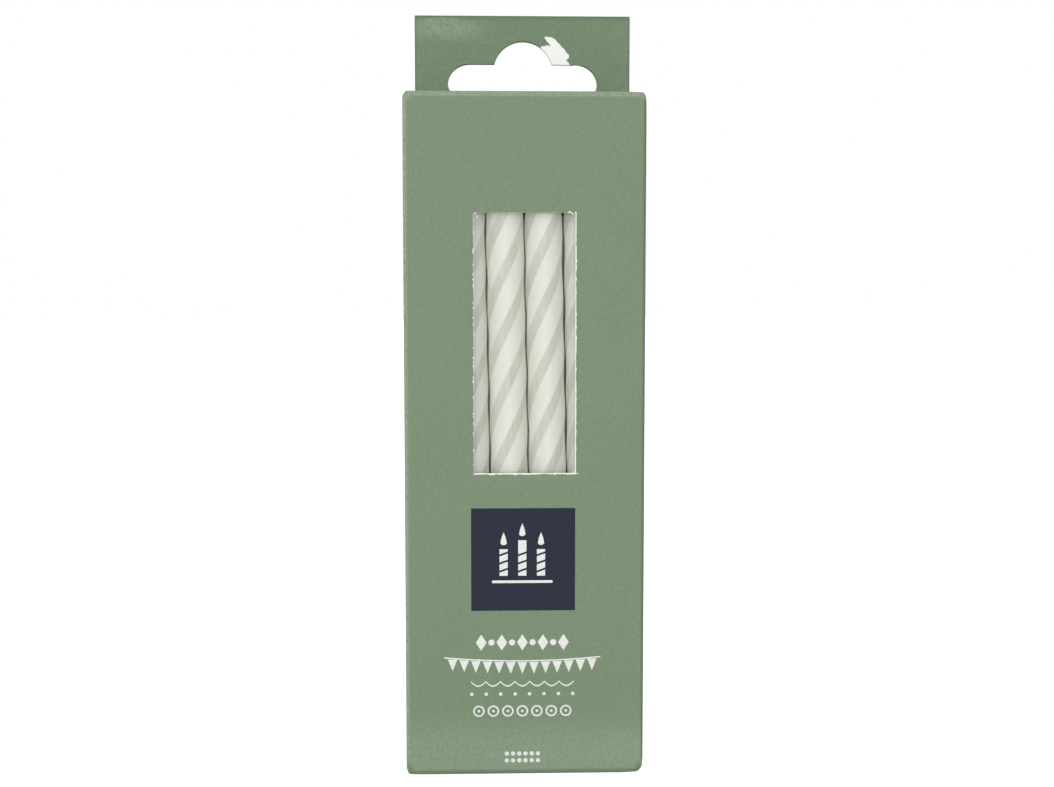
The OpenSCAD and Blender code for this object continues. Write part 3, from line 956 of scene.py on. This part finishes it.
def hang_tab():
    """Both plies of the tab, with the slot through them and the front one's tear."""
    top = tab_high.z - TAB_FOLD_R
    half = tab_high.x
    low, end = tab_low.z - top, TAB_FOLD_LEN + top - ply_low.z
    across = [TAB_FOLD_LEN * k / 12 for k in range(13)]
    outline = [(half, q) for q in [low] + across + [end]]
    outline += [(-s, q) for s, q in outline[::-1]]
    rear_slot = turned([(-x, z - top) for x, z in slot_outline()], False)
    front_slot = turned([(-x, TAB_FOLD_LEN + top - z) for x, z in torn_slot()], False)
    levels = [-FOLD_BAND] + across + [TAB_FOLD_LEN + FOLD_BAND]
    rim = half - SIDE_BAND
    lines = [straight((-rim, q), (rim, q), TAB_STEP) for q in levels]
    upright = [low + 0.3] + levels + [end - 0.3]
    lines += [walk([(side * rim, q) for q in upright], TAB_STEP, closed=False) for side in (-1, 1)]
    place = bend((0, half_d, top), (-1, 0, 0), (0, 0, 1), (0, -1, 0), TAB_FOLD_R, 180)
    sheet = cut_board(walk(outline, TAB_STEP), place, creases=lines, step=TAB_STEP, wear_and_light_at=tab_scuff_and_shade,
                      holes=[(rear_slot, None, SHADED_CORE), (front_slot, None, SHADED_CORE)], face=TAB_SHADED_PRINT)
    board_piece("hang_tab_board", ["hang_tab_rear_ply", "hang_tab_front_ply"], "carton",
                merged(sheet, torn_layer(place, top)))


# Candles

CANDLES = 12
RIDGES = 4
RIDGE_H = 0.15
# Place of the crest across a ridge, and how full the ridge's sides are
CREST = 0.6
RIDGE_POWER = 1.15
LEAD = 30.5
# Points across one ridge, closer together at its valley
RIDGE_SHARES = [0, 0.025, 0.06, 0.13, 0.22, 0.32, 0.42, 0.51, 0.57, 0.6, 0.64, 0.7, 0.8, 0.9,
                0.96, 0.985]
# Rings of the wax: height and size of those at its foot, and how many the straight part
# has. Then the dome's height, its rings in degrees, and its size on top and beyond that
FOOT_RINGS = [(0, 0.93), (0.12, 0.985), (0.3, 1)]
STRAIGHT_RINGS = 84
DOME_H, DOME_RINGS = 2.0, (15, 30, 45, 58, 70, 80, 90)
DOME_TOP, DOME_SIDE = 0.42, 0.58
# Height of the uneven surface's waves
DENT = 0.007
# Height at which each front candle's valley crosses its front line
VALLEY_Z = {1: 72.95, 2: 74.3, 3: 69.7, 4: 71.0}
# How much thicker each candle is than its mould size, on its radius
GROWTH = {1: 0.11, 2: 0.1, 3: 0.08, 4: 0.05, 5: -0.05}
USUAL_GROWTH = 0.03
# How far each candle stands to the right of its place, and how far its lean takes its foot
# on to the right, from a height down and over a length
SHIFT = {1: -0.02, 2: -0.05, 3: -0.08, 4: -0.08}
LEAN = {0: 0.5, 1: 0.64, 2: 0.66, 3: 0.64, 4: 0.52, 5: 0.15, 7: 0.3, 8: 0.2, 9: 0.35, 10: 0.2}
LEAN_FROM, LEAN_LENGTH = 77, 38
# Wick: its strands, their orbit, twist and the depth at which that starts, how far the
# free end leans at most, and how much may be cut off a strand
STRANDS, STRAND_R, STRAND_SIDES = 3, 0.27, 8
ORBIT, TWIST, TWIST_DEPTH = 0.26, 4.2, 2
WICK_LEAN_X, WICK_LEAN_Y = 0.9, 0.5
TIP_CUT = 0.25


def ridge_height(share):
    """Rise of the wax above its valley, at a share of the way across a ridge."""
    x = (CREST - share) / CREST if share < CREST else (share - CREST) / (1 - CREST)
    return RIDGE_H * (1 - x ** RIDGE_POWER)


def smooth_face(share):
    """How far a place across a ridge belongs to its narrow face, which the wax paints grey as shade."""
    rise = min(max((share - CREST + 0.03) / 0.07, 0), 1)
    fall = min(max((1 - share) / 0.02, 0), 1)
    return rise * fall


def lean_at(index, z):
    """Sideways shift of a candle at a height."""
    share = min(max((LEAN_FROM - z) / LEAN_LENGTH, 0), 1)
    ease = share * share * (3 - 2 * share)
    return SHIFT.get(index, 0) + LEAN.get(index, 0) * (0.75 * share + 0.25 * ease)


def wax_rings(body):
    """Height of each ring of the wax above its foot, and its share of the full size."""
    foot = FOOT_RINGS[-1][0]
    straight_h = body - DOME_H - foot
    rings = [(foot + straight_h * k / STRAIGHT_RINGS, 1) for k in range(1, STRAIGHT_RINGS + 1)]
    turns = [radians(d) for d in DOME_RINGS]
    dome = [(body - DOME_H + DOME_H * sin(a), DOME_TOP + DOME_SIDE * cos(a)) for a in turns]
    return FOOT_RINGS + rings + dome


def twisted_wax(index, low, high):
    """Vertices, faces and smoothness of a candle's wax, in its CAD node's place."""
    rng = random.Random(100 + index)
    if index in VALLEY_Z:
        start = -pi / 2 - 2 * pi * (VALLEY_Z[index] - low.z) / LEAD
    else:
        start = rng.uniform(0, 2 * pi)
    waves = [(rng.uniform(0, 6.3), rng.uniform(0.12, 0.5), rng.uniform(0, 6.3), rng.randint(1, 3))
             for _ in range(4)]
    cx, cy = (low.x + high.x) / 2, (low.y + high.y) / 2
    valley_r = (high.x - low.x) / 2 + GROWTH.get(index, USUAL_GROWTH) - RIDGE_H
    around = [((r + s) / RIDGES, ridge_height(s)) for r in range(RIDGES) for s in RIDGE_SHARES]
    rings = wax_rings(high.z - low.z)
    verts = []
    for z, scale in rings:
        shift = lean_at(index, low.z + z)
        for share, rise in around:
            a = start + 2 * pi * (share + z / LEAD)
            dent = DENT * sum(sin(p + rate * z + times * a + q) for p, rate, q, times in waves)
            r = (valley_r + rise + dent) * scale
            verts.append((cx + shift + r * cos(a), cy + r * sin(a), low.z + z))
    foot, tip, last = len(verts), len(verts) + 1, len(verts) - len(around)
    verts += [(cx + lean_at(index, z), cy, z + rise) for z, rise in ((low.z, 0), (high.z, 0.02))]
    faces = tube_walls(0, len(around), len(rings))
    for k in range(len(around)):
        n = (k + 1) % len(around)
        faces += [[foot, n, k], [tip, last + k, last + n]]
    # Share of each point on a ridge's narrow face, which the wax paints grey as shade
    smooth = [smooth_face(s) for s in RIDGE_SHARES] * RIDGES * len(rings)
    return verts, faces, smooth + [0, 0]


def wick_strands(index, low, high, top_z):
    """Twisted cotton strands, cast in below the wax's top and free above it."""
    rng = random.Random(200 + index)
    lean_x = rng.uniform(-WICK_LEAN_X, WICK_LEAN_X)
    lean_y = rng.uniform(-WICK_LEAN_Y, WICK_LEAN_Y)
    cx, cy = (low.x + high.x) / 2, (low.y + high.y) / 2
    wax_z, free = high.z, top_z - high.z
    heights = [low.z, low.z + 6]
    heights += [low.z + (wax_z - TWIST_DEPTH - low.z) * k / 8 for k in range(2, 9)]
    heights += [wax_z - 1.5 + (free + 1.5 - 0.05) * k / 26 for k in range(27)]
    verts, faces = [], []
    for strand in range(STRANDS):
        faces += closed_tube(len(verts), STRAND_SIDES, len(heights))
        cut = rng.uniform(-TIP_CUT, 0)
        for z in heights:
            out = min(max(z - wax_z, 0) / free, 1)
            z = z + cut * out
            turn = 2 * pi * (strand / STRANDS + max(z - wax_z + TWIST_DEPTH, 0) / TWIST)
            spread = ORBIT * (1 + 0.5 * out ** 6)
            mx = cx + lean_at(index, z) + lean_x * out ** 2 + spread * cos(turn)
            my = cy + lean_y * out ** 2 + spread * sin(turn)
            r = STRAND_R * (1 + 0.05 * sin(9 * z + strand))
            for k in range(STRAND_SIDES):
                a = 2 * pi * k / STRAND_SIDES
                verts.append((mx + r * cos(a), my + r * sin(a), z))
    return verts, faces


def candle_part(name, part, suffix, material, sharp_deg, verts, faces, **values):
    """A piece that stands for one part of a candle."""
    kinds = [0] * len(faces)
    piece = new_piece(f"{name}_{part}_{suffix}", verts, faces, kinds, [material], sharp_deg, **values)
    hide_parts(f"{name}_{part}")
    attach(piece, name)


def candle(index):
    """One candle's twisted wax and its wick."""
    name = f"candle_{index + 1:02d}"
    low, high = box_mm(name + "_wax")
    verts, faces, smooth = twisted_wax(index, low, high)
    candle_part(name, "wax", "form", wax_material, 24, verts, faces, smooth=smooth)
    strands = wick_strands(index, low, high, box_mm(name + "_wick")[1].z)
    candle_part(name, "wick", "strands", wick_material, 50, *strands)


# Materials

def srgb(*levels):
    """A colour as a picture shows it, from 0 to 255, in the renderer's linear values."""
    shares = [c / 255 for c in levels]
    linear = [c / 12.92 if c <= 0.04045 else ((c + 0.055) / 1.055) ** 2.4 for c in shares]
    return (*linear, 1)


# Numbers of a colour mix's two inputs and its output
MIX_FIRST, MIX_SECOND, MIX_OUT = 6, 7, 2


class Nodes:
    """The nodes of a material or of the world, which are added by short calls."""

    def __init__(self, owner):
        owner.use_nodes = True
        self.owner = owner
        self.tree = owner.node_tree
        self.surface = self.tree.nodes.get("Principled BSDF")

    def feed(self, value, socket):
        """Sets an input to a constant, or joins another node's output to it."""
        if isinstance(value, (int, float, tuple)):
            socket.default_value = value
        else:
            self.tree.links.new(value, socket)

    def node(self, kind, inputs=(), **settings):
        """A new node, with its settings and a constant or an output for each input."""
        made = self.tree.nodes.new(kind)
        for key, value in settings.items():
            setattr(made, key, value)
        for key, value in dict(inputs).items():
            self.feed(value, made.inputs[key])
        return made

    def noise(self, size_mm, detail=3, rough=0.55, stretch=None):
        """Noise whose features are about the given size."""
        place = self.node("ShaderNodeTexCoord").outputs["Object"]
        if stretch:
            place = self.node("ShaderNodeMapping", {"Vector": place, "Scale": stretch}).outputs["Vector"]
        inputs = {"Vector": place, "Scale": 1 / (size_mm * MM), "Detail": detail, "Roughness": rough}
        return self.node("ShaderNodeTexNoise", inputs).outputs["Fac"]

    def spread(self, fac, low, high, to_low=0.0, to_high=1.0):
        """The part of a value between two levels, stretched over a new range."""
        inputs = {"Value": fac, "From Min": low, "From Max": high, "To Min": to_low, "To Max": to_high}
        return self.node("ShaderNodeMapRange", inputs).outputs["Result"]

    def patches(self, size_mm, detail=3, rough=0.55, contrast=0.4, stretch=None):
        """Noise whose middle levels are stretched over 0 to 1."""
        fac = self.noise(size_mm, detail, rough, stretch)
        return self.spread(fac, (1 - contrast) / 2, (1 + contrast) / 2)

    def value(self, name):
        """A value that the mesh carries."""
        return self.node("ShaderNodeAttribute", attribute_name=name).outputs["Fac"]

    def math(self, kind, first, second):
        """Two values, or a value and a number, put together."""
        return self.node("ShaderNodeMath", {0: first, 1: second}, operation=kind).outputs["Value"]

    def mix(self, fac, first, second):
        """Two colours, or other nodes' outputs, mixed by a value."""
        inputs = {0: fac, MIX_FIRST: first, MIX_SECOND: second}
        return self.node("ShaderNodeMix", inputs, data_type="RGBA").outputs[MIX_OUT]

    def bump(self, height, distance_mm, strength):
        """Relief of the given depth on the surface."""
        inputs = {"Height": height, "Distance": distance_mm * MM, "Strength": strength}
        made = self.node("ShaderNodeBump", inputs)
        self.feed(made.outputs["Normal"], self.surface.inputs["Normal"])

    def seen_rays(self):
        """1 for rays from the camera, off gloss and through glass, and 0 for the others."""
        rays = self.node("ShaderNodeLightPath").outputs
        seen = self.math("MAXIMUM", rays["Is Camera Ray"], rays["Is Glossy Ray"])
        return self.math("MAXIMUM", seen, rays["Is Transmission Ray"])

    def finish(self, colour, rough, **fixed):
        """Sets the colour, the roughness and the constants on the shader's own sockets."""
        for name, value in {"Base_Color": colour, "Roughness": rough, **fixed}.items():
            self.feed(value, self.surface.inputs[name.replace("_", " ")])
        return self.owner


def new_material(name):
    """The nodes of a new material."""
    return Nodes(bpy.data.materials.new(name))


def shade(colour, factor):
    """A colour made darker or lighter."""
    return tuple(min(1, c * factor) for c in colour[:3]) + (1,)


def printed_paper(name, colour, rubbed, rough=0.62, gloss=0.35):
    """Matt ink on coated board: mottling, paper grain, rubbed folds, painted highlights and floor light,
    and painted shade.
    """
    s = new_material(name)
    cloud = s.patches(9, 2)
    grain = s.patches(0.6, 4, 0.65, contrast=0.36)
    speck = s.patches(0.24, 2)
    tone = s.mix(cloud, shade(colour, 0.96), shade(colour, 1.04))
    tone = s.mix(s.math("MULTIPLY", grain, 0.9), tone, shade(colour, 1.22))
    tone = s.mix(s.math("MULTIPLY", speck, 0.8), tone, shade(colour, 0.81))
    worn = s.value("worn")
    patchy = s.spread(s.noise(0.5, 3, 0.6), 0.3, 0.7, 0.25, 1)
    rub = s.math("MULTIPLY", patchy, s.spread(worn, 0, 1))
    # Rubbing, painted highlights and painted floor light lighten the print
    tone = s.mix(s.math("MULTIPLY", rub, 0.75), tone, rubbed)
    # Painted shade darkens the print where the value is below 0
    tone = s.mix(s.spread(worn, -1, 0, 1, 0), tone, shade(colour, 0.45))
    coarse = s.math("MULTIPLY", s.noise(0.6, 2), 1.5)
    s.bump(s.math("ADD", s.noise(0.12, 3, 0.7), coarse), 0.014, 0.5)
    return s.finish(tone, rough, Specular_IOR_Level=gloss)


def bare_paper(name, colour, size=0.2, depth=0.02, contrast=0.1):
    """Unprinted board: off-white, with fibres."""
    s = new_material(name)
    fibres = s.patches(size, 4, 0.7)
    cloud = s.patches(4, 2)
    tone = s.mix(fibres, shade(colour, 1 - 0.7 * contrast), shade(colour, 1 + 0.3 * contrast))
    tone = s.mix(s.math("MULTIPLY", cloud, 0.4), tone, shade(colour, 1 - 0.4 * contrast))
    s.bump(s.noise(size, 5, 0.75), depth, 0.6)
    return s.finish(tone, 0.8, Specular_IOR_Level=0.25)


def wax():
    """Ivory paraffin wax: translucent, with a soft sheen, bloom, and narrow faces painted greyer as
    shade.
    """
    s = new_material("ivory_wax")
    colour = srgb(229, 231, 220)
    # Painted shade: grey for the narrow face of each ridge, which turns from the light
    shaded_grey = srgb(200, 201, 189)
    bloom = s.patches(1.6)
    streak = s.patches(0.5, 3, 0.6, contrast=0.3, stretch=(1, 1, 0.12))
    tone = s.mix(bloom, shade(colour, 0.975), shade(colour, 1.02))
    # The narrow faces are painted grey as shade
    tone = s.mix(s.value("smooth"), tone, shaded_grey)
    tone = s.mix(s.math("MULTIPLY", streak, 0.4), tone, shade(colour, 0.94))
    s.bump(s.math("ADD", s.noise(0.35), s.noise(0.9, 2, stretch=(1, 1, 0.2))), 0.012, 0.5)
    return s.finish(tone, s.spread(bloom, 0, 1, 0.42, 0.52), Subsurface_Weight=1.0,
                    Subsurface_Scale=0.005, Subsurface_Radius=(1.0, 0.97, 0.94),
                    Specular_IOR_Level=0.4, Sheen_Weight=0.95, Sheen_Roughness=0.5,
                    Sheen_Tint=(0.98, 0.95, 0.83, 1))


def cotton():
    """White cotton yarn, dipped in wax."""
    s = new_material("white_cotton")
    colour = srgb(238, 234, 224)
    yarn = s.patches(0.12, 3, 0.6, stretch=(1, 1, 0.3))
    tone = s.mix(yarn, shade(colour, 0.86), shade(colour, 1.02))
    s.bump(s.noise(0.1, 3, 0.7, stretch=(1, 1, 0.3)), 0.03, 0.8)
    return s.finish(tone, 0.75, Specular_IOR_Level=0.3)


# Colour of rubbed print, also used for painted highlights and painted floor light
rubbed_sage = srgb(186, 199, 182)
board_materials = [
    printed_paper("sage_print", srgb(120, 140, 112), rubbed_sage),
    bare_paper("board_inside", srgb(244, 241, 228)),
    # Cut edges are painted dark, as shade
    bare_paper("board_core_painted_shade", srgb(86, 90, 77), 0.12, 0.03),
    printed_paper("navy_print", srgb(42, 46, 60), srgb(150, 152, 160), gloss=0.12),
    printed_paper("white_print", srgb(238, 241, 234), srgb(200, 208, 198)),
    bare_paper("torn_fibres", srgb(255, 255, 252), 0.12, 0.006, contrast=0.02),
    # The tab's print is painted darker than the walls' print, as painted shade
    printed_paper("sage_tab_print_painted_shade", srgb(113, 134, 106), rubbed_sage),
]
wax_material = wax()
wick_material = cotton()

carton_sleeve()
top_lid()
top_tuck()
top_dust(1, "right")
top_dust(-1, "left")
bottom_flaps()
bottom_dust(1, "right")
bottom_dust(-1, "left")
hang_tab()
for place_in_pack in range(CANDLES):
    candle(place_in_pack)


# Stage, lights and camera

# Half the floor's side, in metres, and how white the camera sees it
FLOOR_HALF = 3
FLOOR_WHITE = 0.86
# Strength of the light from the surroundings
ROOM_LIGHT = 0.45
# Lamps: name, place, what each is aimed at, size and power, in metres and watts
LAMPS = [
    ("key", (-0.796, -1.498, 1.11), (0, 0, 0.05), 1.5, 9.85),
    ("front", (-0.036, -1.2, 0.111), (0, 0, 0.057), 0.07, 4.3),
    ("back", (0.75, 1.55, 0.75), (0, 0, 0.05), 1.2, 7),
]
# The photograph's camera, from a fit to the carton's outline: its focal length and the
# picture's width in pixels, its place in millimetres, and its turns right and up
FOCAL_PX, PHOTO_PX = 1400, 1054
CAMERA_PLACE = (-5.5577, -190.8638, 65.4358)
CAMERA_YAW, CAMERA_PITCH = 0.03154, -0.07443
SENSOR = 36


def pale_floor():
    """A plane that the camera sees as white, and that still takes the object's shadow."""
    mesh = bpy.data.meshes.new("floor")
    corners = rectangle(-FLOOR_HALF, -FLOOR_HALF, FLOOR_HALF, FLOOR_HALF)
    mesh.from_pydata([(x, y, 0) for x, y in corners], [], [(0, 1, 2, 3)])
    s = new_material("floor_white")
    mesh.materials.append(s.finish((0.8, 0.8, 0.8, 1), 1))
    light = s.math("MULTIPLY", s.seen_rays(), FLOOR_WHITE)
    glow = s.node("ShaderNodeEmission", {"Color": (1, 1, 1, 1), "Strength": light})
    both = s.node("ShaderNodeAddShader", {0: s.surface.outputs["BSDF"], 1: glow.outputs["Emission"]})
    s.feed(both.outputs["Shader"], s.tree.nodes["Material Output"].inputs["Surface"])
    in_scene("floor", mesh)


def area_light(name, place, target, size, power):
    """A soft square lamp, aimed at a point."""
    data = bpy.data.lights.new(name, "AREA")
    data.shape = "SQUARE"
    data.size = size
    data.energy = power
    lamp = in_scene(name, data)
    lamp.location = place
    lamp.rotation_euler = (Vector(target) - Vector(place)).to_track_quat("-Z", "Y").to_euler()


def surroundings():
    """A plain pale room, which the camera sees as white."""
    world = bpy.data.worlds.new("studio")
    bpy.context.scene.world = world
    s = Nodes(world)
    ground = s.tree.nodes["Background"].inputs
    s.feed((1, 1, 1, 1), ground["Color"])
    s.feed(s.spread(s.seen_rays(), 0, 1, ROOM_LIGHT, 1), ground["Strength"])


def camera():
    """The photograph's camera."""
    data = bpy.data.cameras.new("camera")
    data.sensor_width = SENSOR
    data.lens = FOCAL_PX / PHOTO_PX * SENSOR
    data.clip_start = 0.01
    cam = in_scene("camera", data)
    level = cos(CAMERA_PITCH)
    ahead = (sin(CAMERA_YAW) * level, cos(CAMERA_YAW) * level, sin(CAMERA_PITCH))
    cam.location = Vector(CAMERA_PLACE) * MM
    cam.rotation_euler = Vector(ahead).to_track_quat("-Z", "Y").to_euler()
    bpy.context.scene.camera = cam


pale_floor()
for lamp_values in LAMPS:
    area_light(*lamp_values)
surroundings()
camera()
bpy.context.scene.view_settings.view_transform = "Standard"
